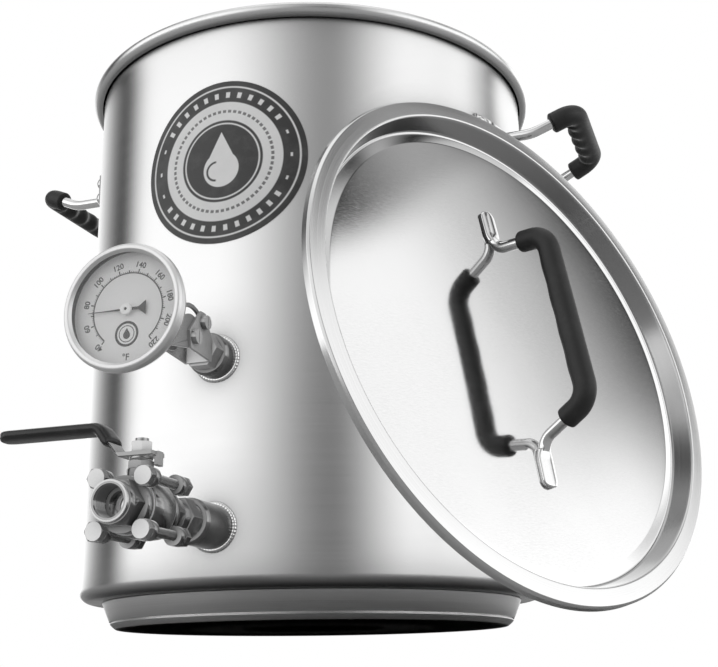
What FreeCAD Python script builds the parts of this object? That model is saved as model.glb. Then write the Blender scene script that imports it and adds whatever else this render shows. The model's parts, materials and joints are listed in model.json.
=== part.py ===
import FreeCAD, Part
import math
import os

# Brew kettle: a clad-bottom stainless pot with two side handles, a three-piece ball valve,
# an adjustable dial thermometer and a loose lid that leans against its wall.
# Millimetres. +Z is up, the origin is on the pot's axis at the underside of its base.
# The valve and the thermometer face -Y, and the side handles stand at +X and -X.

Vector = FreeCAD.Vector
Rotation = FreeCAD.Rotation
Placement = FreeCAD.Placement
Z_AXIS = Vector(0, 0, 1)
ORIGIN = Vector(0, 0, 0)

# ---- driving dimensions ----
POT_RADIUS = 176.0          # outer face of the wall
WALL = 1.2                  # sheet thickness of wall and floor
BASE_HEIGHT = 19.0          # clad disc under the pot
BASE_TOP_RADIUS = 159.0
BASE_BOTTOM_RADIUS = 151.0
RIM_BEAD = 9.6              # diameter of the rolled rim
RIM_TOP = 431.3
FLOOR_CORNER = 8.0          # outer radius where the wall meets the floor
CAP_SHEET = 0.8             # steel cup around the aluminium disc

FIT_GAP = 0.05              # running clearance, on the radius
PIPE_RADIUS = 10.65         # 1/2 inch pipe thread
COUPLER_RADIUS = 14.5
COUPLER_BORE = PIPE_RADIUS + FIT_GAP

HANDLE_ROD_RADIUS = 4.0
HANDLE_ROD_Z = 358.0        # height of the rod where it leaves the wall
HANDLE_GRIP_Z = 373.0       # height of the grip
HANDLE_REACH = 231.0        # grip's centre line from the pot's axis
HANDLE_HALF_SPAN = 50.0
GRIP_RADIUS = 7.6
FOOT_FROM = 12.7            # the foot plates span these angles from the handle's middle
FOOT_TO = 25.3
FOOT_THICKNESS = 2.5
FOOT_LOW = 347.0
FOOT_HIGH = 370.0
RIVET_ANGLE = 22.9
RIVET_HEIGHTS = (352.0, 365.0)
RIVET_RADIUS = 1.98

VALVE_Z = 57.5
VALVE_CENTRE = 270.5        # ball centre from the pot's axis
BODY_HALF = 13.0            # half length of the centre body
LOBE_THICKNESS = 6.0        # bolted flange of each end cap
CAP_LENGTH = 21.1           # end cap, flange included
BOLT_SPACING = 14.8         # half the side of the bolt square
BARREL_RADIUS = 12.6        # end cap outside its bolted flange
LIP_RADIUS = 11.8           # end cap's last few millimetres
LIP_LENGTH = 2.5
BOLT_RADIUS = 3.0
BALL_RADIUS = 12.0
BALL_BORE = 7.5
STEM_RADIUS = 4.0
NUT_HEIGHT = 5.4
SPRING_WASHER = 1.4         # thickness
GASKET = 0.8                # between centre body and end caps
LEVER_Z = 87.0
LEVER_SLEEVE_Z = 105.5
LEVER_LENGTH = 96.5

DIAL_Z = 169.8
DIAL_FRONT = 301.5          # bezel's front face from the pot's axis
DIAL_DEPTH = 13.0
CASE_RADIUS = 37.6
BACK_PLATE = 2.0            # bridge of the yoke, behind the case
SHAFT_RADIUS = 1.2
SCREW_RADIUS = 2.0          # pivot and locking screws
CHEEK = 1.8                 # sheet of bracket ears and yoke cheeks
PIVOT_REACH = 227.5
LOCK_ARM = 17.5             # from the pivot screw to the locking screw
LOCK_ANGLE = 133.0
PROBE_RADIUS = 3.2
PROBE_INSERT = 58.0

BADGE_Z = 314.0
BADGE_RADIUS = 61.5
BADGE_THICKNESS = 0.4

LID_RADIUS = 184.0
LID_SHEET = 1.0
LID_AZIMUTH = 60.2          # from -Y towards +X
LID_LEAN = 12.7
LID_REACH = 222.6           # lid's centre from the pot's axis
LID_GRIP_HEIGHT = 41.0
LID_GRIP_RADIUS = 7.5
LID_DOME_RADIUS = 157.0
LID_DOME_TOP = -3.5
LID_DOME_EDGE = -6.5

FRONT = Rotation(Vector(1, 0, 0), 90)     # turns local +Z to -Y and local +Y to +Z


# ---- helpers ----
def ring(outer, inner, low, high):
    """A tube about Z from low to high."""
    body = Part.makeCylinder(outer, high - low, Vector(0, 0, low))
    if inner <= 0:
        return body
    return body.cut(Part.makeCylinder(inner, high - low, Vector(0, 0, low)))


def hexagon(across_flats, low, high):
    """A hexagonal prism about Z."""
    corner = across_flats / math.sqrt(3)
    points = [Vector(corner * math.cos(math.radians(60 * i)), corner * math.sin(math.radians(60 * i)), low)
              for i in range(7)]
    return Part.Face(Part.makePolygon(points)).extrude(Vector(0, 0, high - low))


def chamfered_hexagon(across_flats, low, high):
    """A hexagonal prism whose top corners are turned off, as on a nut."""
    prism = hexagon(across_flats, low, high)
    crown = 0.18 * across_flats
    cone = Part.makeCone(across_flats * 0.62 + crown, across_flats * 0.5, crown, Vector(0, 0, high - crown))
    drum = Part.makeCylinder(across_flats * 0.62 + crown, high - crown - low, Vector(0, 0, low))
    return prism.common(drum.fuse(cone))


def rounded_edges(points, radii):
    """Straight runs through the points, joined by tangent arcs of the given radii."""
    edges = []
    start = points[0]
    for before, corner, after, radius in zip(points, points[1:], points[2:], radii):
        inward = (before - corner).normalize()
        outward = (after - corner).normalize()
        half = math.acos(max(-1.0, min(1.0, inward.dot(outward)))) / 2
        reach = radius / math.tan(half)
        bisector = (inward + outward).normalize()
        first = corner + inward * reach
        middle = corner + bisector * (radius / math.sin(half) - radius)
        last = corner + outward * reach
        if (first - start).Length > 1e-4:
            edges.append(Part.LineSegment(start, first).toShape())
        edges.append(Part.Arc(first, middle, last).toShape())
        start = last
    if (points[-1] - start).Length > 1e-4:
        edges.append(Part.LineSegment(start, points[-1]).toShape())
    return edges


def offset_profile(points, radii, thickness):
    """The points and radii of a profile in XZ moved to its right-hand side by a thickness."""
    runs = [(b - a).normalize() for a, b in zip(points, points[1:])]
    normals = [Vector(run.z, 0, -run.x) for run in runs]
    moved = [points[0] + normals[0] * thickness]
    new_radii = []
    for i, radius in enumerate(radii):
        a, b = normals[i], normals[i + 1]
        moved.append(points[i + 1] + (a + b) * (thickness / (1 + a.dot(b))))
        turn = runs[i].x * runs[i + 1].z - runs[i].z * runs[i + 1].x
        new_radii.append(radius + thickness if turn > 0 else radius - thickness)
    moved.append(points[-1] + normals[-1] * thickness)
    return moved, new_radii


def spun_sheet(profile, radii, thickness):
    """A sheet of even thickness turned about Z from an open profile of (radius, height) points."""
    points = [Vector(r, 0, z) for r, z in profile]
    other, other_radii = offset_profile(points, radii, thickness)
    edges = rounded_edges(points, radii)
    edges.append(Part.LineSegment(points[-1], other[-1]).toShape())
    edges += rounded_edges(other, other_radii)
    edges.append(Part.LineSegment(other[0], points[0]).toShape())
    face = Part.Face(Part.Wire(Part.__sortEdges__(edges)))
    return face.revolve(ORIGIN, Z_AXIS, 360)


def spun_solid(profile):
    """A solid turned about Z from a closed profile of (radius, height) points."""
    points = [Vector(r, 0, z) for r, z in profile]
    face = Part.Face(Part.makePolygon(points + points[:1]))
    return face.revolve(ORIGIN, Z_AXIS, 360)


def swept_rod(points, radii, radius):
    """A round rod along straight runs and tangent arcs."""
    path = Part.Wire(rounded_edges(points, radii))
    direction = (points[1] - points[0]).normalize()
    section = Part.Wire(Part.makeCircle(radius, points[0], direction))
    return path.makePipeShell([section], True, False)


def plate(outline, normal, thickness):
    """A flat plate: a closed outline extruded along a normal."""
    return Part.Face(Part.makePolygon(outline + outline[:1])).extrude(normal * thickness)


def turned(shape, degrees):
    """A copy turned about the pot's axis."""
    copy = shape.copy()
    copy.rotate(ORIGIN, Z_AXIS, degrees)
    return copy


def group(shapes):
    """Separate solids kept in one node."""
    return Part.makeCompound(shapes)


def at_front(shape, height):
    """Moves a fitting made along Z to the pot's front at a height."""
    copy = shape.copy()
    copy.Placement = Placement(Vector(0, 0, height), FRONT).multiply(copy.Placement)
    return copy


def single(shape):
    """The shape's only solid, cleaned of seams that a boolean leaves."""
    solids = shape.Solids
    return solids[0] if len(solids) == 1 else shape


# ---- pot ----
def side_rivets(side):
    """Four rivets of one handle: shank through wall and foot, dome outside, flat head inside."""
    rivets = []
    inner = POT_RADIUS - WALL
    outer = POT_RADIUS + FOOT_THICKNESS
    for angle in (-RIVET_ANGLE, RIVET_ANGLE):
        for height in RIVET_HEIGHTS:
            shank = Part.makeCylinder(RIVET_RADIUS, outer - inner + 0.6, Vector(0, 0, inner - 0.3))
            head = Part.makeSphere(6.2, Vector(0, 0, outer - 3.4))
            head = head.common(Part.makeCylinder(8, 6, Vector(0, 0, outer - 0.3)))
            back = Part.makeCylinder(4.4, 1.5, Vector(0, 0, inner - 1.3))
            rivet = shank.fuse(head).fuse(back)
            rivet.rotate(ORIGIN, Vector(0, 1, 0), 90)
            rivet.translate(Vector(0, 0, height))
            rivets.append(turned(single(rivet), angle + side))
    return rivets


def make_shell(cutters):
    """Pot wall and floor in one drawn sheet, with its edge rolled outwards."""
    inner = POT_RADIUS - WALL
    outer_bead = inner + RIM_BEAD
    profile = [(0, BASE_HEIGHT + WALL), (inner, BASE_HEIGHT + WALL), (inner, RIM_TOP), (outer_bead, RIM_TOP),
               (outer_bead, RIM_TOP - RIM_BEAD), (POT_RADIUS + 1.4, RIM_TOP - RIM_BEAD)]
    curl = RIM_BEAD / 2
    shell = spun_sheet(profile, [FLOOR_CORNER - WALL, curl, curl, curl], WALL)
    for cutter in cutters:
        shell = shell.cut(cutter)
    return single(shell)


def make_base():
    """Aluminium disc and the steel cup that is pressed round it."""
    slope = (BASE_TOP_RADIUS - BASE_BOTTOM_RADIUS) / BASE_HEIGHT
    groove = BASE_BOTTOM_RADIUS + slope * 4
    outer = [(0, 0), (BASE_BOTTOM_RADIUS - 2.5, 0), (BASE_BOTTOM_RADIUS, 2.0), (groove, 4.0),
             (groove - 0.5, 4.5), (groove + slope, 5.0), (BASE_TOP_RADIUS, BASE_HEIGHT), (0, BASE_HEIGHT)]
    inner = [(0, CAP_SHEET), (BASE_BOTTOM_RADIUS - 4, CAP_SHEET),
             (BASE_TOP_RADIUS - CAP_SHEET - 1.2, BASE_HEIGHT), (0, BASE_HEIGHT)]
    core = spun_solid(inner)
    cap = single(spun_solid(outer).cut(core))
    return core, cap


def coupler(low, high):
    """A welded pipe coupler along Z, with a bevelled mouth."""
    body = ring(COUPLER_RADIUS, COUPLER_BORE, low, high)
    bevel = Part.makeCone(COUPLER_RADIUS + 1, COUPLER_RADIUS - 1, 2.0, Vector(0, 0, high - 2.0))
    drum = Part.makeCylinder(COUPLER_RADIUS + 1, high - low - 2.0, Vector(0, 0, low))
    return single(body.common(drum.fuse(bevel)))


def weld_bead(height):
    """Weld round a coupler where it meets the wall."""
    bead = Part.makeTorus(COUPLER_RADIUS + 0.4, 1.9, Vector(0, 0, POT_RADIUS - 0.2))
    bead = bead.cut(Part.makeCylinder(COUPLER_RADIUS, 20, Vector(0, 0, POT_RADIUS - 10)))
    bead = at_front(bead, height)
    return single(bead.cut(Part.makeCylinder(POT_RADIUS, RIM_TOP)))


def make_badge():
    """Round decal that follows the wall."""
    skin = ring(POT_RADIUS + BADGE_THICKNESS, POT_RADIUS, BADGE_Z - BADGE_RADIUS, BADGE_Z + BADGE_RADIUS)
    punch = Part.makeCylinder(BADGE_RADIUS, 60, Vector(0, -POT_RADIUS + 30, BADGE_Z), Vector(0, -1, 0))
    return single(skin.common(punch))


# ---- side handles ----
def handle_path(side):
    """Centre line of the rod of the handle at +X (side 1) or -X (side -1)."""
    stand = HANDLE_REACH - 33.0
    half = HANDLE_HALF_SPAN
    near = [(168.0, half, HANDLE_ROD_Z), (stand, half, HANDLE_ROD_Z),
            (HANDLE_REACH, half - 5.0, HANDLE_GRIP_Z)]
    far = [(x, -y, z) for x, y, z in reversed(near)]
    return [Vector(side * x, -y, z) for x, y, z in near + far]


def make_handle_rod(side):
    rod = swept_rod(handle_path(side), [26.0, 13.0, 13.0, 26.0], HANDLE_ROD_RADIUS)
    drum = Part.makeCylinder(POT_RADIUS + FOOT_THICKNESS, RIM_TOP)
    return single(rod.cut(drum))


def make_handle_grip(side, rod):
    """Sleeve over the outer part of the rod: it starts and ends on the two sloping legs."""
    path = handle_path(side)
    corner, leg = path[2], path[1]
    start = leg + (corner - leg) * 0.42
    end = Vector(start.x, -start.y, start.z)
    sleeve = swept_rod([start, corner, path[3], end], [13.0, 13.0], GRIP_RADIUS)
    return single(sleeve.cut(rod))


def make_handle_feet(angle, rivets):
    """Two curved plates that hold the rod's ends to the wall."""
    feet = []
    span = FOOT_TO - FOOT_FROM
    height = FOOT_HIGH - FOOT_LOW
    for start in (FOOT_FROM, -FOOT_TO):
        base = Vector(0, 0, FOOT_LOW)
        sector = Part.makeCylinder(POT_RADIUS + FOOT_THICKNESS, height, base, Z_AXIS, span)
        sector = sector.cut(Part.makeCylinder(POT_RADIUS, height, base))
        foot = turned(sector, start + angle)
        for rivet in rivets:
            foot = foot.cut(rivet)
        feet.append(single(foot))
    return group(feet)


# ---- ball valve, made along Z with the ball at VALVE_CENTRE, stem along +Y ----
def bolt_places():
    return [(x * BOLT_SPACING, y * BOLT_SPACING) for x in (-1, 1) for y in (-1, 1)]


def make_end_cap(inner_face, outward, bore, bore_depth):
    """End cap with four bolt lobes and a barrel; outward is 1 for the mouth, -1 for the kettle side."""
    def span(a, b):
        low, high = sorted((inner_face + outward * a, inner_face + outward * b))
        return low, high
    flange = ring(16.2, 0, *span(0, LOBE_THICKNESS))
    for x, y in bolt_places():
        lobe = Part.makeCylinder(5.8, LOBE_THICKNESS, Vector(x, y, span(0, LOBE_THICKNESS)[0]))
        flange = flange.fuse(lobe)
    barrel = ring(BARREL_RADIUS, 0, *span(LOBE_THICKNESS, CAP_LENGTH - LIP_LENGTH)).fuse(
        chamfered_hexagon(2 * BARREL_RADIUS, *span(LOBE_THICKNESS, CAP_LENGTH - 7.0)))
    lip = ring(LIP_RADIUS, 0, *span(CAP_LENGTH - LIP_LENGTH, CAP_LENGTH))
    cap = flange.fuse(barrel).fuse(lip)
    cap = cap.cut(ring(BALL_BORE, 0, *span(-1, CAP_LENGTH + 1)))
    cap = cap.cut(ring(bore, 0, *span(CAP_LENGTH - bore_depth, CAP_LENGTH + 1)))
    for x, y in bolt_places():
        cap = cap.cut(Part.makeCylinder(BOLT_RADIUS + 0.1, 60, Vector(x, y, inner_face - 30)))
    return single(cap.removeSplitter())


def make_valve_body():
    """Centre body with its stem boss."""
    low, high = VALVE_CENTRE - BODY_HALF + GASKET, VALVE_CENTRE + BODY_HALF - GASKET
    body = ring(17.4, 0, low, high)
    boss = Part.makeCylinder(8.2, 22.5, Vector(0, 0, VALVE_CENTRE), Vector(0, 1, 0))
    body = body.fuse(boss)
    body = body.cut(Part.makeCylinder(BALL_RADIUS + 0.6, high - low, Vector(0, 0, low)))
    stem_bore = Part.makeCylinder(STEM_RADIUS + FIT_GAP, 40, Vector(0, 0, VALVE_CENTRE), Vector(0, 1, 0))
    body = body.cut(stem_bore)
    body = body.cut(Part.makeCylinder(6.4, 6, Vector(0, 17.5, VALVE_CENTRE), Vector(0, 1, 0)))
    return single(body)


def make_seats():
    """Two soft rings that cup the ball."""
    seats = []
    ball = Part.makeSphere(BALL_RADIUS + 0.08, Vector(0, 0, VALVE_CENTRE))
    for side in (-1, 1):
        low = VALVE_CENTRE + (BODY_HALF - 5.6 if side > 0 else -BODY_HALF)
        seats.append(single(ring(BALL_RADIUS + 0.55, BALL_BORE, low, low + 5.6).cut(ball)))
    return group(seats)


def make_body_gaskets():
    """Thin rings between the centre body and the end caps."""
    return group([ring(16.8, BALL_RADIUS + 0.7, z, z + GASKET)
                  for z in (VALVE_CENTRE - BODY_HALF, VALVE_CENTRE + BODY_HALF - GASKET)])


def make_bolts():
    """Four hexagon bolts, heads towards the mouth."""
    head_low = VALVE_CENTRE + BODY_HALF + LOBE_THICKNESS
    tail = VALVE_CENTRE - BODY_HALF - LOBE_THICKNESS - 9.5
    bolts = []
    for x, y in bolt_places():
        bolt = ring(BOLT_RADIUS, 0, tail, head_low + 1)
        bolt = bolt.fuse(chamfered_hexagon(10.8, head_low, head_low + 5.0))
        bolt.translate(Vector(x, y, 0))
        bolts.append(single(bolt))
    return group(bolts)


def make_nuts():
    """Four nuts on the kettle side, over their washers."""
    high = VALVE_CENTRE - BODY_HALF - LOBE_THICKNESS - SPRING_WASHER
    nuts = []
    for x, y in bolt_places():
        nut = hexagon(10.4, high - NUT_HEIGHT, high).cut(ring(BOLT_RADIUS, 0, high - 6, high + 1))
        nut.translate(Vector(x, y, 0))
        nuts.append(single(nut))
    return group(nuts)


def make_washers():
    """Spring washers under the nuts."""
    high = VALVE_CENTRE - BODY_HALF - LOBE_THICKNESS
    washers = []
    for x, y in bolt_places():
        washer = ring(5.4, BOLT_RADIUS, high - SPRING_WASHER, high)
        washer.translate(Vector(x, y, 0))
        washers.append(single(washer))
    return group(washers)


def make_nipple():
    """Hexagon nipple that joins the welded coupler to the valve."""
    low, high = POT_RADIUS + 12, VALVE_CENTRE - BODY_HALF - CAP_LENGTH + 13.0
    nipple = ring(PIPE_RADIUS, 0, low, high).fuse(hexagon(23.5, 217.0, 228.0))
    return single(nipple.cut(ring(BALL_BORE, 0, low - 1, high + 1)))


def make_ball():
    ball = Part.makeSphere(BALL_RADIUS, Vector(0, 0, VALVE_CENTRE))
    ball = ball.cut(Part.makeCylinder(BALL_BORE, 40, Vector(-20, 0, VALVE_CENTRE), Vector(1, 0, 0)))
    return single(ball.cut(Part.makeBox(3.2, 4, 30, Vector(-1.6, BALL_RADIUS - 2.6, VALVE_CENTRE - 15))))


def make_stem():
    """Stem with a tang in the ball's slot and flats for the lever."""
    foot = BALL_RADIUS - 0.2
    stem = Part.makeCylinder(STEM_RADIUS, 40.5 - foot, Vector(0, foot, VALVE_CENTRE), Vector(0, 1, 0))
    tang = Part.makeBox(3.0, 3.4, 7.0, Vector(-1.5, foot - 2.2, VALVE_CENTRE - 3.5))
    return single(stem.fuse(tang))


def make_stem_packing():
    return single(Part.makeCylinder(6.35, 5.0, Vector(0, 17.5, VALVE_CENTRE), Vector(0, 1, 0)).cut(
        Part.makeCylinder(STEM_RADIUS + FIT_GAP, 9, Vector(0, 16, VALVE_CENTRE), Vector(0, 1, 0))))


def make_gland_nut():
    gland = chamfered_hexagon(14.6, 22.5, 27.0).cut(ring(STEM_RADIUS + FIT_GAP, 0, 20, 30))
    gland.rotate(ORIGIN, Vector(1, 0, 0), -90)
    gland.translate(Vector(0, 0, VALVE_CENTRE))
    return single(gland)


# ---- lever, made upright in the pot's frame ----
def make_lever_washer():
    washer = ring(6.8, STEM_RADIUS, LEVER_Z - 1.6, LEVER_Z)
    washer.translate(Vector(0, -VALVE_CENTRE, 0))
    return washer


def lever_outline(width):
    """Cranked lever strip in side view: flat on the stem, up a slope, flat in the sleeve."""
    run = 0.82 * (LEVER_SLEEVE_Z - LEVER_Z - 1.5)
    end = -LEVER_LENGTH + 2.0
    low, high = LEVER_SLEEVE_Z - width / 2, LEVER_SLEEVE_Z + width / 2
    under = [(11.0, LEVER_Z), (-11.5, LEVER_Z), (-11.5 - run, low), (end, low)]
    over = [(end, high), (-12.6 - run, high), (-12.6, LEVER_Z + width), (11.0, LEVER_Z + width)]
    return [Vector(x, 0, z) for x, z in under + over]


def make_lever():
    """Flat steel lever with a round eye for the stem and a stop tab."""
    strip = plate(lever_outline(2.6), Vector(0, 1, 0), 15.0)
    strip.translate(Vector(0, -7.5, 0))
    tab = Part.makeBox(2.6, 6.4, 8.5, Vector(10.0, -3.2, LEVER_Z - 5.9))
    lever = strip.fuse(tab)
    lever = lever.cut(Part.makeCylinder(STEM_RADIUS, 20, Vector(0, 0, LEVER_Z - 8)))
    lever.translate(Vector(0, -VALVE_CENTRE, 0))
    return single(lever)


def make_lever_sleeve(lever):
    """Soft sleeve dipped over the lever's end, starting on the slope."""
    half, thick = 9.0, 6.8
    low, high = LEVER_SLEEVE_Z - thick / 2, LEVER_SLEEVE_Z + thick / 2
    outline = [Vector(-22.5, 0, LEVER_Z + 7.6), Vector(-28.4, 0, low), Vector(-LEVER_LENGTH, 0, low),
               Vector(-LEVER_LENGTH, 0, high), Vector(-24.6, 0, high), Vector(-14.5, 0, LEVER_Z + 7.8)]
    sleeve = plate(outline, Vector(0, 1, 0), 2 * half)
    sleeve.translate(Vector(0, -half, 0))
    rounding = Part.makeCylinder(half, 40, Vector(-LEVER_LENGTH + half, 0, LEVER_Z - 5))
    block = Part.makeBox(LEVER_LENGTH, 2 * half, 40, Vector(-LEVER_LENGTH + half, -half, LEVER_Z - 5))
    rounding = rounding.fuse(block)
    sleeve = sleeve.common(rounding)
    sleeve.translate(Vector(0, -VALVE_CENTRE, 0))
    return single(sleeve.cut(lever))


def make_lever_nut():
    nut = chamfered_hexagon(11.6, LEVER_Z + 2.6, LEVER_Z + 9.0)
    nut = nut.cut(ring(STEM_RADIUS, 0, LEVER_Z, LEVER_Z + 12))
    nut.translate(Vector(0, -VALVE_CENTRE, 0))
    return single(nut)


# ---- thermometer, made along Z with its dial up the same way ----
def across(radius, length, y, z):
    """A cylinder across X, centred on the thermometer's middle plane."""
    return Part.makeCylinder(radius, length, Vector(-length / 2, y, z), Vector(1, 0, 0))


def lock_place(angle=LOCK_ANGLE):
    """Height and reach of the locking screw about the pivot."""
    a = math.radians(angle)
    return LOCK_ARM * math.sin(a), PIVOT_REACH + LOCK_ARM * math.cos(a)


def make_fixed_bracket():
    """Threaded bushing with two ears that carry the pivot and the locking screw."""
    bushing = ring(PIPE_RADIUS, 0, POT_RADIUS + 4, POT_RADIUS + 15).fuse(
        hexagon(22.0, POT_RADIUS + 15, POT_RADIUS + 26))
    bushing = bushing.cut(ring(PROBE_RADIUS, 0, POT_RADIUS, POT_RADIUS + 30))
    web = Part.makeBox(19.0, 15.0, 2.2, Vector(-9.5, -9.5, POT_RADIUS + 26))
    web = web.cut(ring(PROBE_RADIUS, 0, POT_RADIUS, POT_RADIUS + 30))
    bracket = bushing.fuse(web)
    lock_y, _ = lock_place()
    low = POT_RADIUS + 26
    for x in (-9.5, 7.7):
        corners = [(-9.5, low), (-7.5, PIVOT_REACH + 3.5), (3.5, PIVOT_REACH + 6.0),
                   (lock_y + 2, PIVOT_REACH - 4.0), (lock_y + 7, PIVOT_REACH - 8.5),
                   (lock_y + 7, PIVOT_REACH - 15.0), (lock_y + 1, PIVOT_REACH - 18.5), (5.5, low)]
        bracket = bracket.fuse(plate([Vector(x, y, z) for y, z in corners], Vector(1, 0, 0), CHEEK))
    bracket = bracket.cut(across(SCREW_RADIUS, 40, 0, PIVOT_REACH))
    bracket = bracket.cut(across(SCREW_RADIUS, 40, *lock_place()))
    return single(bracket)


def make_probe():
    """Thin stem that reaches into the brew."""
    low = POT_RADIUS - WALL - PROBE_INSERT
    probe = ring(PROBE_RADIUS, 0, low, POT_RADIUS + 27)
    return single(probe.fuse(Part.makeSphere(PROBE_RADIUS, Vector(0, 0, low))))


def make_pivot_screws():
    """Pivot screw and locking screw across the ears, each with its nut."""
    screws = []
    for y, z in ((0.0, PIVOT_REACH), lock_place()):
        shank = across(SCREW_RADIUS, 19.0, y, z)
        head = Part.makeCylinder(4.6, 3.6, Vector(9.5, y, z), Vector(1, 0, 0))
        nut = Part.makeCylinder(3.9, 3.0, Vector(-12.5, y, z), Vector(1, 0, 0))
        slot = Part.makeBox(1.4, 10, 1.0, Vector(12.1, y - 5, z - 0.5))
        screws.append(single(shank.fuse(head).fuse(nut).cut(slot)))
    return group(screws)


def arc_point(x, radius, angle):
    """A point at an angle about the X axis, from +Z towards +Y."""
    a = math.radians(angle)
    return Vector(x, radius * math.sin(a), radius * math.cos(a))


def make_head_yoke():
    """Two cheeks on the back of the case; an arc slot in each clears the locking screw."""
    back = DIAL_FRONT - DIAL_DEPTH - BACK_PLATE
    rim = LOCK_ARM + 5.0
    slot = ring(LOCK_ARM + 2.1, LOCK_ARM - 2.1, -12, 12)
    slot.rotate(ORIGIN, Vector(0, 1, 0), 90)
    fan = [Vector(-12, 0, 0)] + [arc_point(-12, 40, angle) for angle in range(34, 144, 9)]
    slot = slot.common(plate(fan, Vector(1, 0, 0), 24))
    slot.translate(Vector(0, 0, PIVOT_REACH))
    pivot = Vector(0, 0, PIVOT_REACH)
    cheeks = []
    for x in (-7.5, 5.7):
        outline = [Vector(x, -11.0, back), Vector(x, -11.0, PIVOT_REACH + 24),
                   Vector(x, -6.0, PIVOT_REACH - 4)]
        outline += [pivot + arc_point(x, rim, angle) for angle in range(152, 40, -14)]
        outline += [Vector(x, 13.0, back)]
        cheeks.append(plate(outline, Vector(1, 0, 0), CHEEK).cut(slot))
    bridge = Part.makeBox(15.0, 24.0, BACK_PLATE, Vector(-7.5, -11.0, back))
    yoke = cheeks[0].fuse(cheeks[1]).fuse(bridge)
    return single(yoke.cut(across(SCREW_RADIUS + FIT_GAP, 40, 0, PIVOT_REACH)))


def make_neck():
    """Short tube on the case that hides the flexible drive."""
    return ring(4.8, 0, PIVOT_REACH + 7.0, DIAL_FRONT - DIAL_DEPTH - BACK_PLATE)


def make_dial_case():
    """Round cup of the dial."""
    back = DIAL_FRONT - DIAL_DEPTH
    rim = DIAL_FRONT - 4.0
    cup = spun_solid([(0, back), (33.0, back), (36.5, back + 2.5), (CASE_RADIUS, back + 6),
                      (CASE_RADIUS, rim),
                      (35.6, rim), (35.6, back + 4), (0, back + 4)])
    return single(cup.cut(ring(SHAFT_RADIUS + FIT_GAP * 2, 0, back - 1, back + 5)))


def make_dial_bezel():
    """Turned ring that holds the lens."""
    front = DIAL_FRONT
    return spun_solid([(37.65, front - 7.0), (38.9, front - 7.0), (39.3, front - 5.5), (38.8, front - 1.6),
                       (37.2, front), (33.2, front - 0.6), (32.6, front - 2.0), (37.65, front - 2.0)])


def make_lens():
    return ring(37.4, 0, DIAL_FRONT - 3.4, DIAL_FRONT - 2.0)


def make_lens_gasket():
    return ring(37.4, 35.7, DIAL_FRONT - 4.0, DIAL_FRONT - 3.4)


def make_dial_face():
    """Printed plate at the bottom of the case."""
    back = DIAL_FRONT - DIAL_DEPTH + 4
    return ring(35.4, SHAFT_RADIUS + FIT_GAP * 2, back, back + 0.6)


def make_pointer():
    """Needle with a wedge tail; straight up it would read the middle of the scale."""
    z = DIAL_FRONT - DIAL_DEPTH + 5.8
    needle = plate([Vector(-24.5, -0.25, z), Vector(0, -0.7, z), Vector(9, -0.8, z), Vector(12.5, -4.2, z),
                    Vector(12.5, 4.2, z), Vector(9, 0.8, z), Vector(0, 0.7, z), Vector(-24.5, 0.25, z)],
                   Vector(0, 0, 1), 0.4)
    return single(needle.cut(ring(SHAFT_RADIUS, 0, z - 1, z + 2)))


def make_pointer_hub():
    z = DIAL_FRONT - DIAL_DEPTH + 6.2
    return single(ring(3.6, 0, z, z + 1.4).cut(ring(SHAFT_RADIUS, 0, z - 1, z + 0.6)))


def make_pointer_shaft():
    back = DIAL_FRONT - DIAL_DEPTH
    return ring(SHAFT_RADIUS, 0, back + 0.3, back + 6.8)


# ---- lid, made flat with its outside up, then stood on its edge ----
def lid_placement():
    """Stands the lid on its lip and leans it on the wall."""
    lean = math.radians(LID_LEAN)
    azimuth = math.radians(LID_AZIMUTH)
    outward = Vector(math.sin(azimuth), -math.cos(azimuth), 0)
    normal = outward * math.cos(lean) + Z_AXIS * math.sin(lean)
    up = Z_AXIS * math.cos(lean) - outward * math.sin(lean)
    side = up.cross(normal)
    centre = outward * LID_REACH + Z_AXIS * (LID_RADIUS * math.cos(lean))
    return Placement(FreeCAD.Matrix(side.x, up.x, normal.x, centre.x, side.y, up.y, normal.y, centre.y,
                                    side.z, up.z, normal.z, centre.z, 0, 0, 0, 1))


def stood(shape):
    copy = shape.copy()
    copy.Placement = lid_placement().multiply(copy.Placement)
    return copy


def dome_sphere():
    """Radius of the sphere that the lid's outside is part of."""
    half = LID_DOME_RADIUS / 2
    return half / math.tan(math.atan2(LID_DOME_TOP - LID_DOME_EDGE, half) / 2)


def dome_height(radius):
    """Height of the lid's outside at a radius from its centre."""
    sphere = dome_sphere()
    return LID_DOME_TOP - sphere + math.sqrt(sphere * sphere - radius * radius)


def make_lid_panel():
    """Spun lid: shallow dome, groove, upright step, and a flange that covers the pot's rim."""
    dome = dome_sphere() - LID_SHEET
    profile = [(0, LID_DOME_TOP), (LID_DOME_RADIUS / 2, LID_DOME_TOP), (LID_DOME_RADIUS + 1, LID_DOME_EDGE),
               (167.5, -8.8), (171.0, 7.4), (176.4, 7.0), (183.2, 1.8), (LID_RADIUS, 0)]
    return single(spun_sheet(profile, [dome, 10.0, 2.2, 2.0, 4.0, 1.4], LID_SHEET))


def lid_handle_path():
    """Centre line of the lid's handle, from foot to foot along Y."""
    foot = dome_height(80) + HANDLE_ROD_RADIUS * 0.75
    half = [(85.0, foot), (72.0, foot), (60.0, LID_GRIP_HEIGHT)]
    return [Vector(0, y, z) for y, z in half] + [Vector(0, -y, z) for y, z in reversed(half)]


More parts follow.
